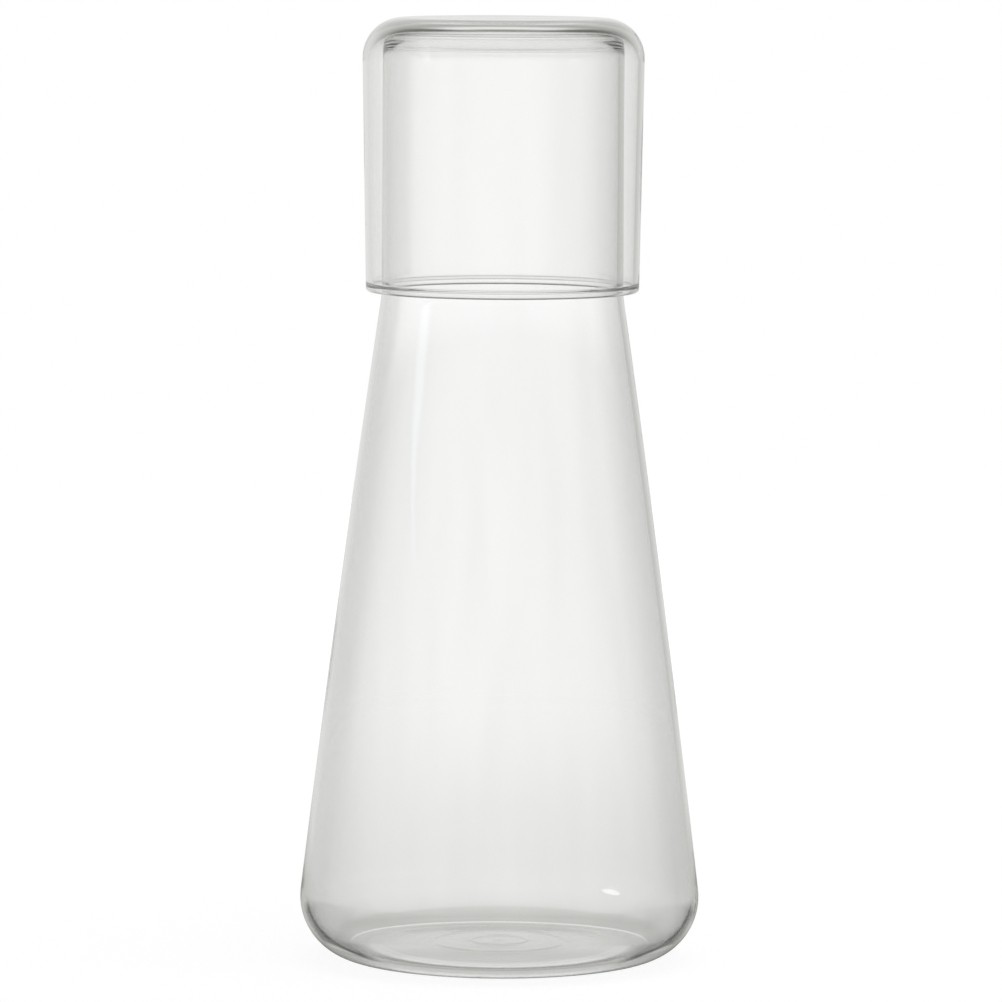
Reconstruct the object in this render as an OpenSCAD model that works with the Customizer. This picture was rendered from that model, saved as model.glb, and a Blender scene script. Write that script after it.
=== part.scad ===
// Bedside carafe with a tumbler that sits upside down over its neck as a lid.
// Both pieces are thin blown glass with fire-polished rims.
// Millimetres, +Z up, origin at the centre of the foot that the carafe stands on.

/* [Carafe body] */
// Widest diameter of the body, just above the rounded bottom corner
body_d = 100; // [92:0.5:112]
// Height of the neck's rim above the table
carafe_h = 232; // [200:0.5:264]
// Radius of the rounded bottom corner, on the outside
corner_r = 15.6; // [12:0.2:18]
// How far the long side swells out past a straight cone
side_bow = 0.5; // [0.1:0.1:1.2]
// Thickness of the side and the neck
wall = 1.5; // [1.2:0.1:1.8]
// Thickness of the floor
floor_t = 2; // [1.8:0.1:3]
// Height of the shallow push-up under the floor
punt_h = 1; // [0.4:0.1:1.6]
// Width of the flat ring that the carafe stands on
foot_w = 4; // [3:0.5:6]

/* [Carafe neck] */
// Outer diameter of the straight neck
neck_d = 60.2; // [54:0.2:64]
// Length of the neck from the shoulder to the rim
neck_h = 65; // [55:0.5:75]
// Radius of the soft bend between the side and the neck
shoulder_r = 30; // [20:1:50]

/* [Tumbler] */
// Play all round between the neck and the tumbler's rim
mouth_gap = 1.9; // [1.2:0.1:2.6]
// How much wider the closed end is than the rim, on the radius
tumbler_flare = 1; // [0.6:0.1:2]
// Radius of the rounded corner at the closed end, on the outside
tumbler_corner_r = 9.9; // [8.5:0.1:11.5]
// Thickness of the tumbler's side
tumbler_wall = 1.5; // [1.2:0.1:1.8]
// Thickness of the tumbler's floor
tumbler_floor_t = 2.3; // [1.8:0.1:3]
// Height of the shallow push-up in the closed end
tumbler_punt_h = 0.5; // [0.3:0.1:0.8]
// Width of the flat ring that the tumbler stands on when it is in use
tumbler_foot_w = 3; // [2:0.5:4]

/* [Rims] */
// Thickness of the fire-polished rims
bead_d = 2.1; // [1.9:0.1:2.4]
// Length over which the neck's rim thins down to its wall
neck_bead_run = 3; // [2:0.5:8]
// Length over which the tumbler's rim thins down to its wall
tumbler_bead_run = 2.5; // [2:0.5:8]

/* [Fit] */
// Gap left between the neck's rim and the tumbler that rests on it
seat_gap = 0.3; // [0.2:0.05:0.5]
// Height of the tumbler's rim above the shoulder
rim_lift = 0.5; // [0:0.1:2]

/* [Hidden] */

// Facets of a drawn circle and steps of a computed curve
$fn = 96;
side_steps = 10;
shoulder_steps = 4;
// Direction of the axis as seen from outside the neck
inward = 180;
// One overrun for every cut
cut = 1;

carafe_tint = [0.86, 0.90, 0.88, 0.4];
tumbler_tint = [0.88, 0.91, 0.92, 0.4];

neck_r = neck_d / 2;
bead_r = bead_d / 2;
shoulder = [neck_r, carafe_h - neck_h];
corner = [body_d / 2 - corner_r, corner_r];
side_lean = tangent_lean(corner, corner_r, shoulder);

tumbler_mouth_r = neck_r + mouth_gap + bead_d;
tumbler_end_r = tumbler_mouth_r + tumbler_flare;
tumbler_corner = [tumbler_end_r - tumbler_corner_r, tumbler_corner_r];

// The tumbler rests with its rounded inside corner on the neck's rim, or with its floor
// where the corner is too small to reach the rim
inner_corner_r = tumbler_corner_r - tumbler_wall;
reach = inner_corner_r - bead_r - seat_gap;
rim_offset = max(0, neck_r - bead_r - tumbler_corner[0]);
seat_drop = inner_corner_r - sqrt(pow(reach, 2) - pow(rim_offset, 2));
tumbler_top = carafe_h - bead_r + seat_drop + tumbler_floor_t;
tumbler_h = tumbler_top - shoulder[1] - rim_lift;

// Lean from the vertical of the line from a point down to its tangent on a circle
function tangent_lean(centre, r, p) =
    atan2(p[1] - centre[1], p[0] - centre[0]) - acos(r / norm(p - centre));

// Unit vector at an angle
function unit(angle) = [cos(angle), sin(angle)];

// Points along an arc
function arc(centre, r, from, to, steps) =
    [for (i = [0:steps]) centre + r * unit(from + (to - from) * i / steps)];

// Centre of an inside corner whose floor is thicker than its wall, with the side leaning in
function inner_centre(centre, lean, thicker) = centre + thicker * [-tan(lean), 1];

// Long side of the carafe, from the bottom corner to below the shoulder, set in by a depth
function side_points(start, end, lean) =
    [for (i = [0:side_steps - 1]) let (t = i / side_steps)
        start + (end - start) * t + 4 * side_bow * t * (1 - t) * unit(lean)];

// Side, shoulder and neck of the carafe, at a depth inside its outer face, up to a height
function carafe_side(centre, r, depth, top) = concat(
    side_points(centre + r * unit(side_lean), shoulder - depth * [1, tan(side_lean / 2)], side_lean),
    arc(shoulder + shoulder_r * [1, tan(side_lean / 2)], shoulder_r + depth,
        inward + side_lean, inward, shoulder_steps),
    [[neck_r - depth, top]]);

// Filled half section of a vessel: a flat end, a rounded corner, then its side
module filled(centre, r, side) {
    polygon(concat([[0, centre[1] - r], [centre[0], centre[1] - r]], side, [[0, side[len(side) - 1][1]]]));
    translate(centre) circle(r);
}

// Half section of a shallow dome that stands on the flat end of a vessel
module dome(rise, span, lift) {
    dome_r = (pow(span, 2) + pow(rise, 2)) / (2 * rise);
    intersection() {
        translate([0, rise - dome_r]) circle(dome_r + lift);
        translate([0, lift - cut]) square([span + cut, rise + 2 * cut]);
    }
}

// Half section of a rim at a height: a round bead that thins down to the wall within a length
module bead(outer_r, wall_t, top, run) {
    translate([outer_r - bead_r, top - bead_r]) circle(bead_r);
    polygon([
        [outer_r, top - bead_r],
        [outer_r - bead_d, top - bead_r],
        [outer_r - wall_t, top - run],
        [outer_r, top - run]]);
}

module carafe() {
    rim_z = carafe_h - bead_r;
    inner_r = corner_r - wall;
    inner = inner_centre(corner, side_lean, floor_t - wall);
    punt_span = corner[0] - foot_w;
    color(carafe_tint) rotate_extrude() {
        difference() {
            filled(corner, corner_r, carafe_side(corner, corner_r, 0, rim_z));
            difference() {
                filled(inner, inner_r, carafe_side(inner, inner_r, wall, rim_z + cut));
                dome(punt_h, punt_span, floor_t);
            }
            dome(punt_h, punt_span, 0);
        }
        bead(neck_r, wall, carafe_h, neck_bead_run);
    }
}

module tumbler() {
    rim = [tumbler_mouth_r, tumbler_h - bead_r];
    lean = tangent_lean(tumbler_corner, tumbler_corner_r, rim);
    inner = inner_centre(tumbler_corner, lean, tumbler_floor_t - tumbler_wall);
    punt_span = tumbler_corner[0] - tumbler_foot_w;
    color(tumbler_tint) translate([0, 0, tumbler_top]) mirror([0, 0, 1]) rotate_extrude() {
        difference() {
            filled(tumbler_corner, tumbler_corner_r, [tumbler_corner + tumbler_corner_r * unit(lean), rim]);
            difference() {
                filled(inner, inner_corner_r, [inner + inner_corner_r * unit(lean), rim + [-tumbler_wall, cut]]);
                dome(tumbler_punt_h, punt_span, tumbler_floor_t);
            }
            dome(tumbler_punt_h, punt_span, 0);
        }
        bead(tumbler_mouth_r, tumbler_wall, tumbler_h, tumbler_bead_run);
    }
}

carafe();
tumbler();
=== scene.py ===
import math

import bmesh
import bpy
from mathutils import Matrix, Vector


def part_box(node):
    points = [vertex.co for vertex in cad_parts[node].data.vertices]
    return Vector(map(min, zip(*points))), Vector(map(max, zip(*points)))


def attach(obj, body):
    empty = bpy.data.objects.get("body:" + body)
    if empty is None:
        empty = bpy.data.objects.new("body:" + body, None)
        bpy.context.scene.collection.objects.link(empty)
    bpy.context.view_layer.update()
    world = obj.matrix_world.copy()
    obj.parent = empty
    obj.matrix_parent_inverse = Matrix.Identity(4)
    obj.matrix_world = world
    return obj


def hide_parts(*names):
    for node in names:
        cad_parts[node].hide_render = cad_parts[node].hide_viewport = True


# Bedside carafe with a tumbler upside down over its neck, both in clear blown glass.
# Metres, +Z up, in the frame of the CAD model.

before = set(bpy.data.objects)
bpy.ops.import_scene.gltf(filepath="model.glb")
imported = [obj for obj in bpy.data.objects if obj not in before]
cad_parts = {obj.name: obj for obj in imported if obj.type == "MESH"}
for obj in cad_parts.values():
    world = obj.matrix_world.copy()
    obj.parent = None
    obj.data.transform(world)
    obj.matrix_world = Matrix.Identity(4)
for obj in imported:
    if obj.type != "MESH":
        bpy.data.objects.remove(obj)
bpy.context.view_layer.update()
carafe_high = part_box("carafe")[1]
tumbler_low, tumbler_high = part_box("tumbler")

MM = 0.001
# The glass stays this much inside the CAD model
HAIR = 0.0005 * MM

# Sections, as in the CAD model
BODY_R = carafe_high[0] - HAIR
CARAFE_TOP = carafe_high[2]
CORNER_R = 15.6 * MM
SIDE_BOW = 0.5 * MM
WALL = 1.5 * MM
CARAFE_FLOOR = 2 * MM
PUNT = 1 * MM
FOOT_W = 4 * MM
NECK_R = 30.1 * MM
NECK_H = 65 * MM
SHOULDER_R = 30 * MM
BEAD_R = 1.05 * MM
# Lengths over which hollow curves thin the rims down to their walls; on the neck that is longer than
# the CAD model's straight taper
BEAD_RUN = 4.5 * MM
TUMBLER_BEAD_RUN = 2.5 * MM

TUMBLER_MOUTH_R = 34.1 * MM
TUMBLER_END_R = tumbler_high[0]
TUMBLER_RIM = tumbler_low[2]
TUMBLER_TOP = tumbler_high[2]
TUMBLER_CORNER_R = 9.9 * MM
TUMBLER_WALL = 1.5 * MM
TUMBLER_FLOOR = 2.3 * MM
TUMBLER_PUNT = 0.5 * MM
TUMBLER_FOOT_W = 3 * MM

# How finely the sections are drawn
ROUND_STEPS = 288
ARC_STEP = math.radians(3)
LEAST_ARC_STEPS = 2
SIDE_STEPS = 24
SHOULDER_STEPS = 6
NECK_STEPS = 12
TUMBLER_SIDE_STEPS = 16
FLAT_STEPS = 3
DOME_STEPS = 12
INNER_DOME_STEPS = 24
BEAD_STEPS = 32
HOLLOW_STEPS = 10
# Stretch at each end of a long line, which keeps its shading from leaning towards its neighbour,
# and the largest share of the line that it takes
SHORT = 0.12 * MM
SHORT_SHARE = 0.1
# Points closer together than this are one
TOUCHING = 1e-7


# Half sections, drawn with a pen

def pen_down(bm, r, z):
    """Starts a half section at a radius and a height."""
    return bm.verts.new((r, 0, z))


def pen_line(bm, vert, r, z, steps=1):
    """Draws a straight line to a radius and a height, with a short stretch at each end."""
    span = Vector((r, 0, z)) - vert.co
    short = min(SHORT / span.length, SHORT_SHARE)
    long = (1 - 2 * short) / steps
    for share in [short] + steps * [long] + [short]:
        made = bmesh.ops.extrude_vert_indiv(bm, verts=[vert])
        vert = made["verts"][0]
        bmesh.ops.translate(bm, verts=[vert], vec=share * span)
    return vert


def pen_arc(bm, vert, centre, turn, steps=0):
    """Draws an arc round a centre; a positive turn goes up and to the left, seen from the front."""
    steps = steps or max(LEAST_ARC_STEPS, round(abs(turn) / ARC_STEP))
    made = bmesh.ops.spin(
        bm, geom=[vert], cent=(centre[0], 0, centre[1]), axis=(0, 1, 0), angle=-turn, steps=steps
    )
    return next(g for g in made["geom_last"] if isinstance(g, bmesh.types.BMVert))


def pen_rim(bm, vert, outer, top, wall, run):
    """Draws a round rim from outside to inside, and the hollow curve that thins it down to the wall."""
    spare = wall - BEAD_R
    drop = run - BEAD_R
    hollow_r = (drop * drop - BEAD_R * BEAD_R + spare * spare) / (2 * (BEAD_R - spare))
    turn = math.asin(drop / (hollow_r + BEAD_R))
    vert = pen_arc(bm, vert, (outer - BEAD_R, top - BEAD_R), math.pi + turn, BEAD_STEPS)
    return pen_arc(bm, vert, (outer - wall - hollow_r, top - run), -turn, HOLLOW_STEPS)


def to_object(bm, name):
    mesh = bpy.data.meshes.new(name)
    bm.to_mesh(mesh)
    bm.free()
    made = bpy.data.objects.new(name, mesh)
    bpy.context.scene.collection.objects.link(made)
    return made


def blow(bm, name):
    """Turns a half section round the axis into one closed shell of glass."""
    bmesh.ops.spin(
        bm,
        geom=bm.verts[:] + bm.edges[:],
        cent=(0, 0, 0),
        axis=(0, 0, 1),
        angle=math.tau / 4,
        steps=ROUND_STEPS // 4,
    )
    for turn in (math.tau / 4, math.tau / 2):
        made = bmesh.ops.duplicate(bm, geom=bm.verts[:] + bm.edges[:] + bm.faces[:])
        copies = [g for g in made["geom"] if isinstance(g, bmesh.types.BMVert)]
        bmesh.ops.rotate(bm, verts=copies, cent=(0, 0, 0), matrix=Matrix.Rotation(turn, 3, "Z"))
    bmesh.ops.remove_doubles(bm, verts=bm.verts[:], dist=TOUCHING)
    bmesh.ops.recalc_face_normals(bm, faces=bm.faces[:])
    for face in bm.faces:
        face.smooth = True
    return to_object(bm, name)


def unit(angle):
    return Vector((math.cos(angle), math.sin(angle)))


def tangent_lean(centre, radius, point):
    """Lean from the vertical of the line from a point down to its tangent on a circle."""
    span = point - centre
    return math.atan2(span.y, span.x) - math.acos(radius / span.length)


def dome_radius(rise, span):
    return (span * span + rise * rise) / (2 * rise)


# Carafe

def carafe_shell():
    """The carafe: its half section from under the floor, up the outside and down the inside."""
    corner = Vector((BODY_R - CORNER_R, CORNER_R))
    shoulder = Vector((NECK_R, CARAFE_TOP - NECK_H))
    lean = tangent_lean(corner, CORNER_R, shoulder)
    chord = (shoulder - corner - CORNER_R * unit(lean)).length
    bow_r = (chord * chord / 4 + SIDE_BOW * SIDE_BOW) / (2 * SIDE_BOW)
    bow = math.asin(chord / 2 / bow_r)
    punt_span = corner.x - FOOT_W
    punt_r = dome_radius(PUNT, punt_span)
    rim_z = CARAFE_TOP - BEAD_R
    start_lean = lean - bow
    end_lean = lean + bow

    bm = bmesh.new()
    # Outside: push-up, foot, corner, side, shoulder, neck, rim
    pen = pen_down(bm, 0, PUNT + HAIR)
    pen = pen_arc(bm, pen, (0, PUNT + HAIR - punt_r), -math.asin(punt_span / punt_r), DOME_STEPS)
    pen = pen_line(bm, pen, corner.x, 0, FLAT_STEPS)
    pen = pen_arc(bm, pen, corner, math.pi / 2 + start_lean)
    bow_centre = corner + (CORNER_R - bow_r) * unit(start_lean)
    cut_short = SHOULDER_R * math.tan(end_lean / 2) / bow_r
    pen = pen_arc(bm, pen, bow_centre, 2 * bow - cut_short, SIDE_STEPS)
    bend = Vector((pen.co.x, pen.co.z)) + SHOULDER_R * unit(end_lean)
    pen = pen_arc(bm, pen, bend, -end_lean, SHOULDER_STEPS)
    pen = pen_line(bm, pen, NECK_R, rim_z, NECK_STEPS)
    pen = pen_rim(bm, pen, NECK_R, CARAFE_TOP, WALL, BEAD_RUN)

    # Inside: neck, shoulder, side, corner, floor
    inner = corner + (CARAFE_FLOOR - WALL) * Vector((-math.tan(lean), 1))
    bend_z = bend.y
    pen = pen_line(bm, pen, NECK_R - WALL, bend_z, NECK_STEPS)
    inner_bend = Vector((NECK_R + SHOULDER_R, bend_z))
    pen = pen_arc(bm, pen, inner_bend, end_lean, SHOULDER_STEPS)
    inner_bow = Vector((pen.co.x, pen.co.z)) - (bow_r - WALL) * unit(end_lean)
    pen = pen_arc(bm, pen, inner_bow, -(2 * bow - cut_short), SIDE_STEPS)
    pen = pen_arc(bm, pen, inner, -(math.pi / 2 + start_lean))
    pen = pen_line(bm, pen, punt_span, CARAFE_FLOOR, FLAT_STEPS)
    floor_r = punt_r + CARAFE_FLOOR
    pen = pen_arc(bm, pen, (0, PUNT - punt_r), math.asin(pen.co.x / floor_r), INNER_DOME_STEPS)
    pen.co.x = 0
    return blow(bm, "carafe_blown")


# Tumbler

def tumbler_shell():
    """The tumbler: its half section as it stands when it is in use, turned over at the end."""
    corner = Vector((TUMBLER_END_R - TUMBLER_CORNER_R, TUMBLER_CORNER_R))
    height = TUMBLER_TOP - TUMBLER_RIM
    rim = Vector((TUMBLER_MOUTH_R, height - BEAD_R))
    lean = tangent_lean(corner, TUMBLER_CORNER_R, rim)
    punt_span = corner.x - TUMBLER_FOOT_W
    punt_r = dome_radius(TUMBLER_PUNT, punt_span)
    inner_r = TUMBLER_CORNER_R - TUMBLER_WALL
    inner = corner + (TUMBLER_FLOOR - TUMBLER_WALL) * Vector((-math.tan(lean), 1))

    bm = bmesh.new()
    pen = pen_down(bm, 0, TUMBLER_PUNT)
    pen = pen_arc(bm, pen, (0, TUMBLER_PUNT - punt_r), -math.asin(punt_span / punt_r), DOME_STEPS)
    pen = pen_line(bm, pen, corner.x, 0, FLAT_STEPS)
    pen = pen_arc(bm, pen, corner, math.pi / 2 + lean)
    pen = pen_line(bm, pen, rim.x, rim.y, TUMBLER_SIDE_STEPS)
    pen = pen_rim(bm, pen, rim.x, height, TUMBLER_WALL, TUMBLER_BEAD_RUN)
    inner_top = inner + inner_r * unit(lean)
    pen = pen_line(bm, pen, inner_top.x, inner_top.y, TUMBLER_SIDE_STEPS)
    pen = pen_arc(bm, pen, inner, -(math.pi / 2 + lean))
    pen = pen_line(bm, pen, punt_span, TUMBLER_FLOOR, FLAT_STEPS)
    floor_r = punt_r + TUMBLER_FLOOR
    pen = pen_arc(bm, pen, (0, TUMBLER_PUNT - punt_r), math.asin(pen.co.x / floor_r), INNER_DOME_STEPS)
    pen.co.x = 0
    upside_down = Matrix.Translation((0, 0, TUMBLER_TOP)) @ Matrix.Rotation(math.pi, 4, "Y")
    bmesh.ops.transform(bm, matrix=upside_down, verts=bm.verts[:])
    return blow(bm, "tumbler_blown")


# Glass

def new_material(name):
    material = bpy.data.materials.new(name)
    material.use_nodes = True
    nodes = material.node_tree.nodes
    nodes.clear()
    return material, nodes, material.node_tree.links


def new_group(name, inputs, outputs):
    group = bpy.data.node_groups.new(name, "ShaderNodeTree")
    for label, kind in inputs:
        group.interface.new_socket(label, in_out="INPUT", socket_type=kind)
    for label, kind in outputs:
        group.interface.new_socket(label, in_out="OUTPUT", socket_type=kind)
    return group, group.nodes.new("NodeGroupInput"), group.nodes.new("NodeGroupOutput")


def plug(links, value, socket):
    """Gives a socket a number, or links it."""
    if isinstance(value, bpy.types.NodeSocket):
        links.new(value, socket)
    else:
        socket.default_value = value


def mixed(nodes, links, share, first, second):
    made = nodes.new("ShaderNodeMix")
    plug(links, share, made.inputs["Factor"])
    plug(links, first, made.inputs["A"])
    plug(links, second, made.inputs["B"])
    return made.outputs["Result"]


def reckoned(nodes, links, operation, first, second):
    made = nodes.new("ShaderNodeMath")
    made.operation = operation
    plug(links, first, made.inputs[0])
    plug(links, second, made.inputs[1])
    return made.outputs[0]


def curve(nodes, links, value, stops):
    """Grey tone of a value, from rising pairs of value and tone."""
    low, high = stops[0][0], stops[-1][0]
    span = nodes.new("ShaderNodeMapRange")
    span.inputs["From Min"].default_value = low
    span.inputs["From Max"].default_value = high
    links.new(value, span.inputs["Value"])
    made = nodes.new("ShaderNodeValToRGB")
    points = made.color_ramp.elements
    points[0].color = (stops[0][1],) * 3 + (1,)
    points[1].color = (stops[-1][1],) * 3 + (1,)
    for place, tone in stops[1:-1]:
        points.new((place - low) / (high - low)).color = (tone,) * 3 + (1,)
    links.new(span.outputs["Result"], made.inputs["Fac"])
    return made.outputs["Color"]


def by_angle(stops):
    """Turns the angles of a curve, in degrees above level, into heights on a unit ball."""
    return [(math.sin(math.radians(angle)), tone) for angle, tone in stops]


# Height of the rings in the carafe's floor by the distance from the axis: the marks of the
# glassmaker's rod
FLOOR_RINGS = [
    (0, 0.7), (0.003, 0.35), (0.0055, 0.6), (0.007, 1), (0.0085, 0.5), (0.011, 0.15), (0.014, 0.3),
    (0.0165, 0.75), (0.0185, 0.3), (0.022, 0.05), (0.03, 0),
]
# Heights between which the glass counts as the carafe's floor
IN_FLOOR = [(0, 0), (1.4 * MM, 0), (1.8 * MM, 1), (5 * MM, 1)]

# How many slow waves, wipes and seeds fit in a metre, and how much longer than wide the wipes are
WAVES_PER_METRE = 18
WIPES_PER_METRE = 110
SEEDS_PER_METRE = 75
WIPE_SQUEEZE = (1, 1, 0.07)
# Height of a seed by the distance from its middle, and where the wipes are cloudy
SEED_SHAPE = [(0, 1), (0.02, 0.7), (0.045, 0), (0.1, 0)]
CLOUDY_WIPES = [(0, 0), (0.45, 0), (0.7, 1), (1, 1)]

# Painted edge shade: the glass darkens by how far the surface turns away from the viewer. A little of it
# is the longer way through the wall; the rest is painted shade for the darker edges
PAINTED_EDGE_SHADE = [
    (0, 1), (0.12, 0.99), (0.33, 0.94), (0.46, 0.88), (0.55, 0.82), (0.65, 0.83), (0.8, 0.9), (1, 0.95),
]
# Borosilicate glass, and what it leaves of a lamp's light
GLASS_IOR = 1.47
SHADOW_TINT = (0.82, 0.84, 0.83)

# How high each kind of unevenness is, how much of the painted edge shade each height takes, the tints of
# the clear and the cloudy glass, and how far the tumbler's pattern is moved from the carafe's
CARAFE_UNEVENNESS = {"Waves": 0.12 * MM, "Wipes": 0.01 * MM, "Seeds": 0.008 * MM, "Rings": 0.12 * MM}
CARAFE_EDGE_SHADE = [(0, 1), (0.15, 0.9), (0.168, 0.25), (0.24, 0.25)]
CARAFE_CLEAR = (0.995, 0.995, 0.993)
CARAFE_CLOUDY = (0.975, 0.975, 0.973)
TUMBLER_UNEVENNESS = {"Waves": 0.1 * MM, "Wipes": 0.012 * MM, "Seeds": 0.008 * MM, "Rings": 0}
TUMBLER_EDGE_SHADE = [(0, 0.25), (0.24, 0.25)]
TUMBLER_CLEAR = (0.995, 0.995, 0.994)
TUMBLER_CLOUDY = (0.98, 0.98, 0.979)
TUMBLER_PATTERN = (0.05, 0.02, -0.4)


def blown_surface():
    """Unevenness of blown glass: slow waves, long wipes, fine seeds and the rings in a floor."""
    group, enter, leave = new_group(
        "blown surface",
        [
            ("Place", "NodeSocketVector"),
            ("Waves", "NodeSocketFloat"),
            ("Wipes", "NodeSocketFloat"),
            ("Seeds", "NodeSocketFloat"),
            ("Rings", "NodeSocketFloat"),
            ("Clear", "NodeSocketColor"),
            ("Cloudy", "NodeSocketColor"),
        ],
        [("Height", "NodeSocketFloat"), ("Tint", "NodeSocketColor")],
    )
    nodes, links = group.nodes, group.links
    place = enter.outputs["Place"]
    # Waves, wipes and seeds
    waves = nodes.new("ShaderNodeTexNoise")
    waves.inputs["Scale"].default_value = WAVES_PER_METRE
    waves.inputs["Detail"].default_value = 1
    links.new(place, waves.inputs["Vector"])
    upright = nodes.new("ShaderNodeMapping")
    upright.inputs["Scale"].default_value = WIPE_SQUEEZE
    links.new(place, upright.inputs["Vector"])
    wipes = nodes.new("ShaderNodeTexNoise")
    wipes.inputs["Scale"].default_value = WIPES_PER_METRE
    wipes.inputs["Detail"].default_value = 2
    links.new(upright.outputs["Vector"], wipes.inputs["Vector"])
    seeds = nodes.new("ShaderNodeTexVoronoi")
    seeds.inputs["Scale"].default_value = SEEDS_PER_METRE
    links.new(place, seeds.inputs["Vector"])
    seed = curve(nodes, links, seeds.outputs["Distance"], SEED_SHAPE)

    # Rings in the floor
    split = nodes.new("ShaderNodeSeparateXYZ")
    links.new(place, split.inputs["Vector"])
    level = nodes.new("ShaderNodeVectorMath")
    level.operation = "MULTIPLY"
    level.inputs[1].default_value = (1, 1, 0)
    links.new(place, level.inputs[0])
    away = nodes.new("ShaderNodeVectorMath")
    away.operation = "LENGTH"
    links.new(level.outputs["Vector"], away.inputs[0])
    rings = curve(nodes, links, away.outputs["Value"], FLOOR_RINGS)
    in_floor = curve(nodes, links, split.outputs["Z"], IN_FLOOR)
    rings = reckoned(nodes, links, "MULTIPLY", rings, in_floor)

    # All of them together, and the tint that goes with the wipes
    height = reckoned(nodes, links, "MULTIPLY", waves.outputs[0], enter.outputs["Waves"])
    for amount, value in (("Wipes", wipes.outputs[0]), ("Seeds", seed), ("Rings", rings)):
        part = reckoned(nodes, links, "MULTIPLY", value, enter.outputs[amount])
        height = reckoned(nodes, links, "ADD", height, part)
    links.new(height, leave.inputs["Height"])
    cloud = curve(nodes, links, wipes.outputs[0], CLOUDY_WIPES)
    tint = nodes.new("ShaderNodeMix")
    tint.data_type = "RGBA"
    factor, first, second = (next(i for i in tint.inputs if i.identifier == name)
                             for name in ("Factor_Float", "A_Color", "B_Color"))
    links.new(cloud, factor)
    links.new(enter.outputs["Clear"], first)
    links.new(enter.outputs["Cloudy"], second)
    links.new(next(o for o in tint.outputs if o.identifier == "Result_Color"), leave.inputs["Tint"])
    return group


def glass(name, surface, offset, amounts, edges, clear_tint, cloudy_tint):
    """Clear blown glass; lamps shine through it, so that its shadow is as light as a real one."""
    material, nodes, links = new_material(name)
    shader = nodes.new("ShaderNodeBsdfPrincipled")
    shader.inputs["Roughness"].default_value = 0
    shader.inputs["IOR"].default_value = GLASS_IOR
    shader.inputs["Transmission Weight"].default_value = 1

    # Unevenness
    coords = nodes.new("ShaderNodeTexCoord")
    moved = nodes.new("ShaderNodeMapping")
    moved.inputs["Location"].default_value = offset
    links.new(coords.outputs["Object"], moved.inputs["Vector"])
    uneven = nodes.new("ShaderNodeGroup")
    uneven.node_tree = surface
    for label, amount in amounts.items():
        uneven.inputs[label].default_value = amount
    uneven.inputs["Clear"].default_value = (*clear_tint, 1)
    uneven.inputs["Cloudy"].default_value = (*cloudy_tint, 1)
    links.new(moved.outputs["Vector"], uneven.inputs["Place"])
    bump = nodes.new("ShaderNodeBump")
    bump.inputs["Distance"].default_value = 1
    links.new(uneven.outputs["Height"], bump.inputs["Height"])
    links.new(bump.outputs["Normal"], shader.inputs["Normal"])

    # Tint, with painted shade that darkens it towards the edges
    facing = nodes.new("ShaderNodeLayerWeight")
    edge = curve(nodes, links, facing.outputs["Facing"], PAINTED_EDGE_SHADE)
    height = nodes.new("ShaderNodeSeparateXYZ")
    links.new(coords.outputs["Object"], height.inputs["Vector"])
    edge = mixed(nodes, links, curve(nodes, links, height.outputs["Z"], edges), 1, edge)
    tinted = nodes.new("ShaderNodeVectorMath")
    tinted.operation = "MULTIPLY"
    links.new(uneven.outputs["Tint"], tinted.inputs[0])
    links.new(edge, tinted.inputs[1])
    links.new(tinted.outputs["Vector"], shader.inputs["Base Color"])

    # Way through for the lamp
    clear = nodes.new("ShaderNodeBsdfTransparent")
    clear.inputs["Color"].default_value = (*SHADOW_TINT, 1)
    path = nodes.new("ShaderNodeLightPath")
    mix = nodes.new("ShaderNodeMixShader")
    out = nodes.new("ShaderNodeOutputMaterial")
    links.new(path.outputs["Is Shadow Ray"], mix.inputs["Fac"])
    links.new(shader.outputs["BSDF"], mix.inputs[1])
    links.new(clear.outputs["BSDF"], mix.inputs[2])
    links.new(mix.outputs["Shader"], out.inputs["Surface"])
    return material


# Studio

# Tones of the room in the reflections, by the angle above level: straight behind the glass,
# where a lit panel hangs, and at the flags on both sides of it
BEHIND = [
    (-90, 0.3), (-50, 0.3), (-35, 0.5), (-20, 0.6), (-12, 0.8), (0, 1), (12, 0.5), (28, 0.42),
    (33, 0.6), (38, 0.9), (44, 0.85), (48, 0.5), (52, 0.25), (90, 0.2),
]
FLAGS = [
    (-90, 0.1), (-40, 0.05), (-16, 0.02), (-12, 0.3), (-8, 0.6), (0, 0.7), (8, 0.6), (16, 0.5),
    (22, 0.42), (27, 0.25), (31, 0.12), (90, 0.12),
]
# Tones seen straight through the glass, by the angle above level
THROUGH = [
    (-90, 0.95), (-20, 0.97), (-5, 0.98), (8, 0.97), (18, 0.98), (24, 0.7), (28, 0.3), (34, 0.2),
    (40, 0.15), (50, 0.1), (90, 0.1),
]
# How much of that a low flag far behind the glass leaves
LOW_FLAG = [
    (-90, 1), (-22, 1), (-18, 0.85), (-14.5, 0.45), (-12, 0.65), (-10, 0.85), (-8, 0.98), (-6, 1),
    (90, 1),
]
# Light that a bright panel straight behind the upper part adds, by the angle above level and by
# the level direction's way to the right
PANEL = [(-30, 0), (-3.7, 0), (-3.45, 0.12), (3, 0.13), (8, 0), (30, 0)]
PANEL_WIDTH = [
    (-0.2, 0), (-0.13, 0), (-0.1, 1), (0.02, 1), (0.04, 0.75), (0.07, 0.7), (0.1, 0.3), (0.13, 0),
    (0.2, 0),
]
# Tones of the pale screens on the level, from straight in front, -1, to straight behind, 1
SCREENS = [(-1, 0.58), (0, 0.58), (0.7, 0.66), (0.9, 0.73), (0.97, 0.77), (1, 0.8)]
# Share of the room's light that the reflections keep, from the left, -1, to the right, 1
LEFT_TO_RIGHT = [(-1, 1), (0.1, 1), (0.4, 0.8), (0.8, 0.7), (1, 0.62)]

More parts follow.
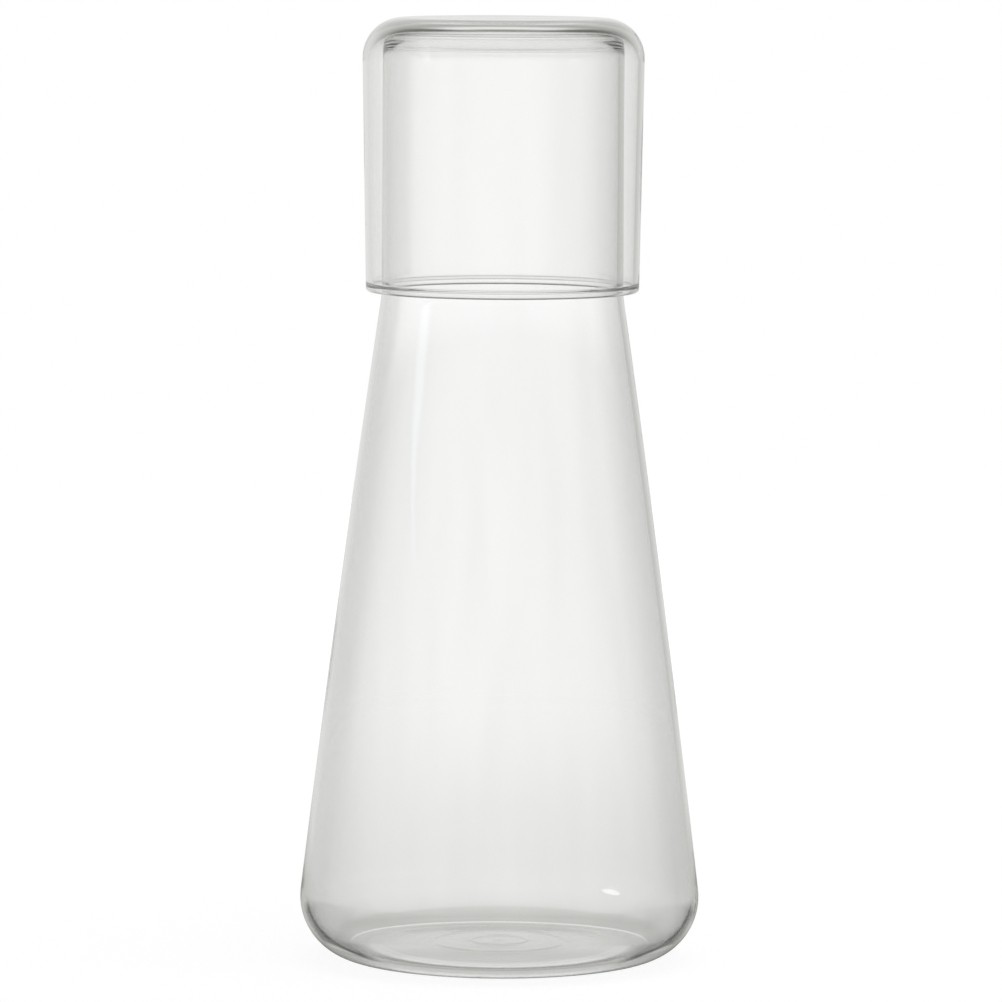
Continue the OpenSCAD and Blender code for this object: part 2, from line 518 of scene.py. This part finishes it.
# Shares by the level direction, from straight in front, -1, to straight behind, 1: where the lit
# panel hangs between the flags, which part counts as the front, and how far the low flag reaches
BEHIND_REACH = [(-1, 0), (0.962, 0), (0.985, 1), (1, 1)]
FRONT_REACH = [(-1, 1), (0.2, 1), (0.46, 0), (1, 0)]
LOW_FLAG_REACH = [(-1, 0.1), (0.8, 0.1), (0.93, 1), (1, 1)]
# Where the room is high or low rather than level, by the angle above level, and its tone in front
HIGH_OR_LOW = [(-90, 1), (-22, 1), (-12, 0), (12, 0), (22, 1), (90, 1)]
HIGH_OR_LOW_IN_FRONT = 0.62


def room_group():
    """Tones of the room in a direction: as the glass reflects it, and as it shows through the glass."""
    group, enter, leave = new_group(
        "room round the glass",
        [("Direction", "NodeSocketVector")],
        [("Reflected", "NodeSocketFloat"), ("Through", "NodeSocketFloat")],
    )
    nodes, links = group.nodes, group.links
    aim = nodes.new("ShaderNodeVectorMath")
    aim.operation = "NORMALIZE"
    links.new(enter.outputs["Direction"], aim.inputs[0])
    flat = nodes.new("ShaderNodeVectorMath")
    flat.operation = "MULTIPLY"
    flat.inputs[1].default_value = (1, 1, 0)
    links.new(enter.outputs["Direction"], flat.inputs[0])
    level = nodes.new("ShaderNodeVectorMath")
    level.operation = "NORMALIZE"
    links.new(flat.outputs["Vector"], level.inputs[0])
    aimed = nodes.new("ShaderNodeSeparateXYZ")
    links.new(aim.outputs["Vector"], aimed.inputs["Vector"])
    levelled = nodes.new("ShaderNodeSeparateXYZ")
    links.new(level.outputs["Vector"], levelled.inputs["Vector"])
    height, right, back = aimed.outputs["Z"], levelled.outputs["X"], levelled.outputs["Y"]

    # As the glass reflects it
    screens = curve(nodes, links, back, SCREENS)
    behind = curve(nodes, links, height, by_angle(BEHIND))
    flags = curve(nodes, links, height, by_angle(FLAGS))
    straight_behind = curve(nodes, links, back, BEHIND_REACH)
    front = curve(nodes, links, back, FRONT_REACH)
    steep = curve(nodes, links, height, by_angle(HIGH_OR_LOW))
    high_and_low = mixed(nodes, links, straight_behind, flags, behind)
    high_and_low = mixed(nodes, links, front, high_and_low, HIGH_OR_LOW_IN_FRONT)
    tone = mixed(nodes, links, steep, screens, high_and_low)
    tone = reckoned(nodes, links, "MULTIPLY", tone, curve(nodes, links, right, LEFT_TO_RIGHT))
    links.new(tone, leave.inputs["Reflected"])

    # As it shows through the glass
    through = curve(nodes, links, height, by_angle(THROUGH))
    low_flag = curve(nodes, links, height, by_angle(LOW_FLAG))
    flagged = reckoned(nodes, links, "MULTIPLY", through, low_flag)
    far_back = curve(nodes, links, back, LOW_FLAG_REACH)
    panel = curve(nodes, links, height, by_angle(PANEL))
    panel = reckoned(nodes, links, "MULTIPLY", panel, curve(nodes, links, right, PANEL_WIDTH))
    panel = reckoned(nodes, links, "MULTIPLY", panel, reckoned(nodes, links, "GREATER_THAN", back, 0))
    through = reckoned(nodes, links, "ADD", mixed(nodes, links, far_back, through, flagged), panel)
    links.new(through, leave.inputs["Through"])
    return group


# Blue that goes with a tone of the room or the floor: the darker, the warmer
BLUE = [(0, 0), (0.1, 0.088), (0.35, 0.33), (0.65, 0.633), (1, 1), (1.4, 1.4)]


def warmed(nodes, links, tone):
    """Colour of a tone, with the room's faint warmth."""
    made = nodes.new("ShaderNodeCombineColor")
    links.new(tone, made.inputs["Red"])
    links.new(tone, made.inputs["Green"])
    links.new(curve(nodes, links, tone, BLUE), made.inputs["Blue"])
    return made.outputs["Color"]


# Tone of the light that has gone to and fro inside a wall, and after how many reflections
TRAPPED = 0.58
MANY = 8


def trapped(nodes, links, path, tone):
    """Puts the one tone of trapped light in the place of a tone after many reflections."""
    many = reckoned(nodes, links, "GREATER_THAN", path.outputs["Glossy Depth"], MANY)
    return mixed(nodes, links, many, tone, TRAPPED)


def surroundings(room):
    """White for the camera, nearly white through the glass, and the room in reflections."""
    world = bpy.data.worlds.new("studio")
    bpy.context.scene.world = world
    world.use_nodes = True
    nodes = world.node_tree.nodes
    links = world.node_tree.links
    nodes.clear()
    out = nodes.new("ShaderNodeOutputWorld")
    sky = nodes.new("ShaderNodeBackground")
    path = nodes.new("ShaderNodeLightPath")
    coords = nodes.new("ShaderNodeTexCoord")
    reflected = reckoned(nodes, links, "MINIMUM", path.outputs["Glossy Depth"], 1)
    around = nodes.new("ShaderNodeGroup")
    around.node_tree = room
    links.new(coords.outputs["Generated"], around.inputs["Direction"])
    mirrored = trapped(nodes, links, path, around.outputs["Reflected"])
    tone = mixed(nodes, links, reflected, around.outputs["Through"], mirrored)
    tone = mixed(nodes, links, path.outputs["Is Camera Ray"], tone, 1)
    links.new(warmed(nodes, links, tone), sky.inputs["Color"])
    links.new(sky.outputs["Background"], out.inputs["Surface"])


# The studio floor, a little under the foot
FLOOR_R = 1.3
FLOOR_DROP = 0.3 * MM
FLOOR_COLOUR = (0.8, 0.8, 0.8, 1)
STAGE_STEPS = 96
# Painted shade and light on the floor, by the distance from the axis, close to the foot and farther out:
# behind the axis, painted shade that is longer than it is wide, and in front of it, under the round
# corner, a painted bright ring of gathered light and painted dark shade
NEAR = 64 * MM
FLOOR_BEHIND = [(0, 0.64), (0.032, 0.64), (0.036, 0.66), (0.048, 0.65), (0.056, 0.63), (NEAR, 0.65)]
FLOOR_IN_FRONT = [
    (0, 0.64), (0.009, 0.66), (0.013, 0.75), (0.018, 0.8), (0.024, 0.8), (0.028, 0.87),
    (0.0302, 1.05), (0.0325, 1.15), (0.0338, 0.5), (0.0345, 0.15), (0.036, 0.04), (0.041, 0.04),
    (0.043, 0.3), (0.047, 0.58), (NEAR, 0.65),
]
FLOOR_FAR = [
    (NEAR, 0.65), (0.073, 0.67), (0.079, 0.79), (0.09, 0.82), (0.115, 0.845), (0.2, 0.85), (0.3, 0.88),
    (0.4, 0.925), (0.5, 0.96), (0.55, 0.97), (1.3, 0.97),
]
# Share of the front tones, by how far back the place is
IN_FRONT = [(-0.05, 1), (-0.022, 1), (-0.016, 0.5), (-0.003, 0.35), (-0.001, 0), (0.05, 0)]
# Painted light and shade on the floor close to the foot, as the inside of the glass mirrors it
FLOOR_MIRRORED = [
    (0, 0.8), (0.034, 1.2), (0.0355, 1.35), (0.0362, 1), (0.037, 0.7), (0.0378, 0.62), (0.0388, 0.62),
    (0.0395, 0.47), (0.041, 0.75), (0.044, 0.6), (NEAR, 0.6),
]
# Two strips of painted shade on the floor beside the foot, which the round corner mirrors as dark hooks:
# their share of light by the distance from the axis, to the side made shorter, and how far back they
# reach
PAINTED_SHADE_STRIPS = [(0, 1), (0.0338, 1), (0.0344, 0.7), (0.035, 0.05), (0.05, 0), (NEAR, 0)]
STRIPS_NARROWED = 0.75
STRIPS_END = [(-0.1, 0), (-0.028, 0), (-0.023, 1), (0.035, 1), (0.06, 0), (0.1, 0)]
# Tones of the floor as the outside of the glass mirrors it, with painted shade close to the foot, as it
# looks deep inside the glass, and as it looks with no glass in front of it: white, with a painted
# contact shadow just under the foot
FLOOR_OUTSIDE = [(0, 0.05), (0.045, 0.08), (0.06, 0.4), (NEAR, 0.45)]
FLOOR_INSIDE = 0.6
FLOOR_SEEN = [(0, 0.15), (0.0325, 0.2), (0.0348, 1.1), (NEAR, 1.1)]
# Through how many surfaces a path that is deep inside the glass has gone
DEEP = 2.5
# Share of its own glow that the floor shows the camera; the rest takes the shadow
FLOOR_GLOW = [(0, 0.8), (0.3, 0.8), (0.7, 1), (1.3, 1)]
# Where the floor gives way to the room, in what the glass reflects and in what shows through it
FLOOR_FADES = [(0, 0), (0.2, 0), (0.42, 1), (1.3, 1)]
FLOOR_ENDS = [(0, 0), (0.55, 0), (0.6, 1), (1.3, 1)]
# How much narrower than deep the shade behind is, and how much wider the mirrored one
SHADE_BEHIND = 1.7
SHADE_MIRRORED = 0.93


def from_axis(nodes, links, place, widened=1):
    """Distance of a place from the axis, with its way to the side made longer or shorter."""
    scaled = nodes.new("ShaderNodeVectorMath")
    scaled.operation = "MULTIPLY"
    scaled.inputs[1].default_value = (widened, 1, 1)
    links.new(place, scaled.inputs[0])
    away = nodes.new("ShaderNodeVectorMath")
    away.operation = "LENGTH"
    links.new(scaled.outputs["Vector"], away.inputs[0])
    return away.outputs["Value"]


def near_and_far(nodes, links, distance, near_tones):
    """Tone of the floor at a distance: one set of tones near the foot, and one farther out."""
    beyond = reckoned(nodes, links, "GREATER_THAN", distance, NEAR)
    far = curve(nodes, links, distance, FLOOR_FAR)
    return mixed(nodes, links, beyond, curve(nodes, links, distance, near_tones), far)


def studio_floor():
    """The pale floor, with painted shade and light for what the glass shows of it."""
    bm = bmesh.new()
    bmesh.ops.create_circle(bm, cap_ends=True, segments=STAGE_STEPS, radius=FLOOR_R)
    bmesh.ops.translate(bm, verts=bm.verts[:], vec=(0, 0, -FLOOR_DROP))
    floor = to_object(bm, "studio_floor")
    material, nodes, links = new_material("pale floor")
    path = nodes.new("ShaderNodeLightPath")
    coords = nodes.new("ShaderNodeTexCoord")
    place = coords.outputs["Object"]
    distance = from_axis(nodes, links, place)
    split = nodes.new("ShaderNodeSeparateXYZ")
    links.new(place, split.inputs["Vector"])

    # Painted shade and light straight through the glass
    in_front = curve(nodes, links, split.outputs["Y"], IN_FRONT)
    behind = near_and_far(nodes, links, from_axis(nodes, links, place, SHADE_BEHIND), FLOOR_BEHIND)
    through = mixed(nodes, links, in_front, behind, near_and_far(nodes, links, distance, FLOOR_IN_FRONT))

    # Painted shade and light in reflections, from inside the glass, from outside and deep inside
    inside = reckoned(nodes, links, "MINIMUM", path.outputs["Transmission Depth"], 1)
    mirrored = curve(nodes, links, from_axis(nodes, links, place, SHADE_MIRRORED), FLOOR_MIRRORED)
    strips = curve(nodes, links, from_axis(nodes, links, place, STRIPS_NARROWED), PAINTED_SHADE_STRIPS)
    strips = mixed(nodes, links, curve(nodes, links, split.outputs["Y"], STRIPS_END), 1, strips)
    mirrored = reckoned(nodes, links, "MULTIPLY", mirrored, strips)
    near = mixed(nodes, links, inside, curve(nodes, links, distance, FLOOR_OUTSIDE), mirrored)
    deep = reckoned(nodes, links, "GREATER_THAN", path.outputs["Transmission Depth"], DEEP)
    near = mixed(nodes, links, deep, near, FLOOR_INSIDE)

    # The tone that the path takes
    reflected = reckoned(nodes, links, "MINIMUM", path.outputs["Glossy Depth"], 1)
    tone = mixed(nodes, links, reflected, through, trapped(nodes, links, path, near))
    # White for the camera, with a painted contact shadow just under the foot
    white = curve(nodes, links, distance, FLOOR_SEEN)
    tone = mixed(nodes, links, path.outputs["Is Camera Ray"], tone, white)
    glow = nodes.new("ShaderNodeEmission")
    links.new(warmed(nodes, links, tone), glow.inputs["Color"])

    # Share of the tone beside the plain matt floor, and where the floor is not seen at all
    matt = nodes.new("ShaderNodeBsdfDiffuse")
    matt.inputs["Color"].default_value = FLOOR_COLOUR
    glossy, refracted = path.outputs["Is Glossy Ray"], path.outputs["Is Transmission Ray"]
    seen = reckoned(nodes, links, "MAXIMUM", glossy, refracted)
    spread = curve(nodes, links, distance, FLOOR_GLOW)
    ends = curve(nodes, links, distance, FLOOR_ENDS)
    ends = mixed(nodes, links, reflected, ends, curve(nodes, links, distance, FLOOR_FADES))
    faded = reckoned(nodes, links, "MULTIPLY", seen, ends)
    faded = mixed(nodes, links, path.outputs["Is Camera Ray"], faded, 0)
    mix = nodes.new("ShaderNodeMixShader")
    share = mixed(nodes, links, path.outputs["Is Camera Ray"], seen, spread)
    links.new(share, mix.inputs["Fac"])
    links.new(matt.outputs["BSDF"], mix.inputs[1])
    links.new(glow.outputs["Emission"], mix.inputs[2])
    clear = nodes.new("ShaderNodeBsdfTransparent")
    out = nodes.new("ShaderNodeOutputMaterial")
    fade = nodes.new("ShaderNodeMixShader")
    links.new(faded, fade.inputs["Fac"])
    links.new(mix.outputs["Shader"], fade.inputs[1])
    links.new(clear.outputs["BSDF"], fade.inputs[2])
    links.new(fade.outputs["Shader"], out.inputs["Surface"])
    floor.data.materials.append(material)


# The round corner gathers light into a thin ring under the foot
RING_R = 38.3 * MM
RING_LOW = -0.28 * MM
RING_HIGH = 0.4 * MM


def light_ring():
    """The ring, which only straight paths through the glass show."""
    bm = bmesh.new()
    made = bmesh.ops.create_circle(bm, segments=STAGE_STEPS, radius=RING_R)
    bmesh.ops.translate(bm, verts=made["verts"], vec=(0, 0, RING_LOW))
    made = bmesh.ops.extrude_edge_only(bm, edges=bm.edges[:])
    raised = [g for g in made["geom"] if isinstance(g, bmesh.types.BMVert)]
    bmesh.ops.translate(bm, verts=raised, vec=(0, 0, RING_HIGH - RING_LOW))
    ring = to_object(bm, "light_ring")
    material, nodes, links = new_material("ring of light")
    out = nodes.new("ShaderNodeOutputMaterial")
    path = nodes.new("ShaderNodeLightPath")
    clear = nodes.new("ShaderNodeBsdfTransparent")
    glow = nodes.new("ShaderNodeEmission")
    mirrored = reckoned(nodes, links, "MINIMUM", path.outputs["Glossy Depth"], 1)
    straight = reckoned(nodes, links, "SUBTRACT", path.outputs["Is Transmission Ray"], mirrored)
    mix = nodes.new("ShaderNodeMixShader")
    links.new(reckoned(nodes, links, "MAXIMUM", straight, 0), mix.inputs["Fac"])
    links.new(clear.outputs["BSDF"], mix.inputs[1])
    links.new(glow.outputs["Emission"], mix.inputs[2])
    links.new(mix.outputs["Shader"], out.inputs["Surface"])
    ring.data.materials.append(material)
    ring.visible_shadow = False
    ring.visible_diffuse = False


def reflected_card(bm, name, colour, strength, outside_only):
    """A lit card that only reflections show, or only those on the outside of the glass."""
    card = to_object(bm, name)
    material, nodes, links = new_material(name)
    out = nodes.new("ShaderNodeOutputMaterial")
    path = nodes.new("ShaderNodeLightPath")
    clear = nodes.new("ShaderNodeBsdfTransparent")
    glow = nodes.new("ShaderNodeEmission")
    glow.inputs["Color"].default_value = (*colour, 1)
    glow.inputs["Strength"].default_value = strength
    seen = reckoned(nodes, links, "MINIMUM", path.outputs["Glossy Depth"], 1)
    if outside_only:
        seen = reckoned(nodes, links, "GREATER_THAN", seen, path.outputs["Transmission Depth"])
    mix = nodes.new("ShaderNodeMixShader")
    links.new(seen, mix.inputs["Fac"])
    links.new(clear.outputs["BSDF"], mix.inputs[1])
    links.new(glow.outputs["Emission"], mix.inputs[2])
    links.new(mix.outputs["Shader"], out.inputs["Surface"])
    card.data.materials.append(material)
    card.visible_shadow = False
    card.visible_diffuse = False


def on_the_wall(turn, reach, height):
    """A place at a height on a round wall; the turn is in degrees from the back, towards the right."""
    return reach * math.sin(math.radians(turn)), reach * math.cos(math.radians(turn)), height


def window_card():
    """A tall narrow window on the left, which narrows to a point at its foot."""
    reach = 1.2
    colour = (0.86, 0.95, 1)
    strength = 1.5
    # Height, turn and half width, the last two in degrees
    levels = [
        (0.40, -102.3, 5), (0.324, -102.3, 4.8), (0.295, -103, 3.2),
        (0.274, -106.5, 1.6), (0.258, -110, 1), (0.244, -113.5, 0.5),
    ]
    bm = bmesh.new()
    rows = []
    for height, turn, half in levels:
        row = [bm.verts.new(on_the_wall(side, reach, height)) for side in (turn - half, turn + half)]
        rows.append(bm.edges.new(row))
    for upper, lower in zip(rows, rows[1:]):
        bmesh.ops.bridge_loops(bm, edges=[upper, lower])
    reflected_card(bm, "window light", colour, strength, False)


def low_card():
    """A small narrow card low on the right, which the side mirrors just above the corner."""
    half_width = 0.029
    half_height = 0.0015
    place = Matrix.Translation((0.2592, -0.1331, 0.0357))
    turn = 111.7
    tilt = 6.2
    card_steps = 32
    colour = (1, 1, 1)
    strength = 5
    bm = bmesh.new()
    bmesh.ops.create_circle(bm, cap_ends=True, segments=card_steps, radius=1)
    bmesh.ops.scale(bm, verts=bm.verts[:], vec=(half_width, half_height, 1))
    tilted = Matrix.Rotation(math.radians(tilt), 4, "Z")
    upright = Matrix.Rotation(-math.radians(turn), 4, "Z") @ Matrix.Rotation(math.pi / 2, 4, "X")
    bmesh.ops.transform(bm, matrix=place @ upright @ tilted, verts=bm.verts[:])
    reflected_card(bm, "low card light", colour, strength, True)


# The lamp that lights the floor and throws the soft shadow
LAMP_PLACE = (0.3, -0.2, 2.2)
LAMP_AIM = (0, 0, 0.1)
LAMP_WIDTH = 1.6
LAMP_WATTS = 30


def soft_top_lamp():
    """A wide soft lamp overhead, which the glass neither mirrors nor shows."""
    data = bpy.data.lights.new("soft top light", "AREA")
    data.shape = "SQUARE"
    data.size = LAMP_WIDTH
    data.energy = LAMP_WATTS
    light = bpy.data.objects.new("soft top light", data)
    direction = Vector(LAMP_AIM) - Vector(LAMP_PLACE)
    turn = direction.to_track_quat("-Z", "Y").to_matrix().to_4x4()
    light.matrix_world = Matrix.Translation(LAMP_PLACE) @ turn
    light.visible_glossy = False
    light.visible_transmission = False
    bpy.context.scene.collection.objects.link(light)


# Camera, at the photograph's viewing angle

CAMERA_PLACE = (-0.0001, -1.9, 0.284)
CAMERA_PITCH = math.radians(5.08)
CAMERA_ROLL = math.radians(0.3)
# Lens and film, in millimetres, and how far the camera sees
LENS = 274.08
FILM_WIDTH = 36
SIGHT = 50


def camera():
    data = bpy.data.cameras.new("camera")
    data.sensor_width = FILM_WIDTH
    data.lens = LENS
    data.clip_end = SIGHT
    view = bpy.data.objects.new("camera", data)
    tilt = Matrix.Rotation(math.pi / 2 - CAMERA_PITCH, 4, "X")
    roll = Matrix.Rotation(CAMERA_ROLL, 4, "Z")
    view.matrix_world = Matrix.Translation(CAMERA_PLACE) @ tilt @ roll
    bpy.context.scene.collection.objects.link(view)
    bpy.context.scene.camera = view


camera()

carafe = carafe_shell()
tumbler = tumbler_shell()
for piece, node in ((carafe, "carafe"), (tumbler, "tumbler")):
    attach(piece, node)
    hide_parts(node)
surface = blown_surface()
carafe.data.materials.append(glass(
    "carafe glass", surface, (0, 0, 0), CARAFE_UNEVENNESS, CARAFE_EDGE_SHADE, CARAFE_CLEAR, CARAFE_CLOUDY
))
tumbler.data.materials.append(glass(
    "tumbler glass", surface, TUMBLER_PATTERN, TUMBLER_UNEVENNESS, TUMBLER_EDGE_SHADE, TUMBLER_CLEAR,
    TUMBLER_CLOUDY
))

room = room_group()
surroundings(room)
studio_floor()
light_ring()
window_card()
low_card()
soft_top_lamp()

# So many bounces let the light find its way out of the glass
BOUNCES = 64
cycles = bpy.context.scene.cycles
cycles.max_bounces = BOUNCES
cycles.transmission_bounces = BOUNCES
cycles.glossy_bounces = BOUNCES
bpy.context.scene.view_settings.view_transform = "Standard"
